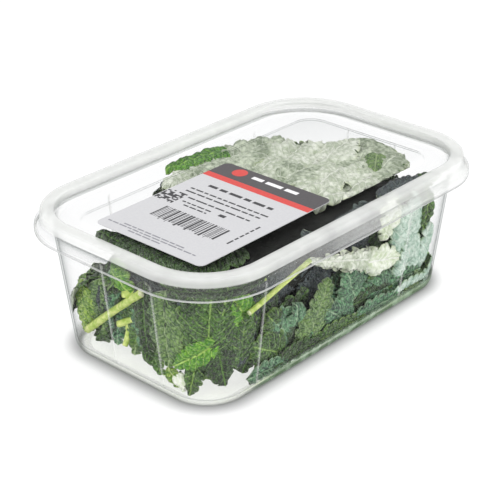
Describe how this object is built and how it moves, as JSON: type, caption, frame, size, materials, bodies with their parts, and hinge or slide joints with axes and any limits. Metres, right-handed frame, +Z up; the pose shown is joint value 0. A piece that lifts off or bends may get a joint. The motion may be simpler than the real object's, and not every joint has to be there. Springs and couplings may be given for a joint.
{
  "type": "pack of fresh lemon balm",
  "caption": "Shut clear plastic tub of fresh lemon balm, with a clip-on lid, a raised rim for stacking and a plain greeked paper label on the lid.",
  "frame": {"origin": "middle of the pack's length and width, on the ground under the tub's foot", "axes": "+X along the pack, +Y across it, +Z up out of the lid; the label is on the -X half of the lid"},
  "size_m": [0.19, 0.12, 0.0651],
  "materials": {
    "tub_plastic": "clear thin-walled moulded polypropylene, glossy, colourless",
    "lid_plastic": "clear thin moulded polypropylene, slightly hazy on the ring, glossy",
    "herb_leaves": "fresh lemon balm leaves and stems, wrinkled and softly hairy, satin green above and pale below",
    "label_paper": null
  },
  "bodies": {
    "root": {"tub": "tub_plastic", "lid": "lid_plastic", "herbs": "herb_leaves", "label": "label_paper"}
  },
  "joints": []
}
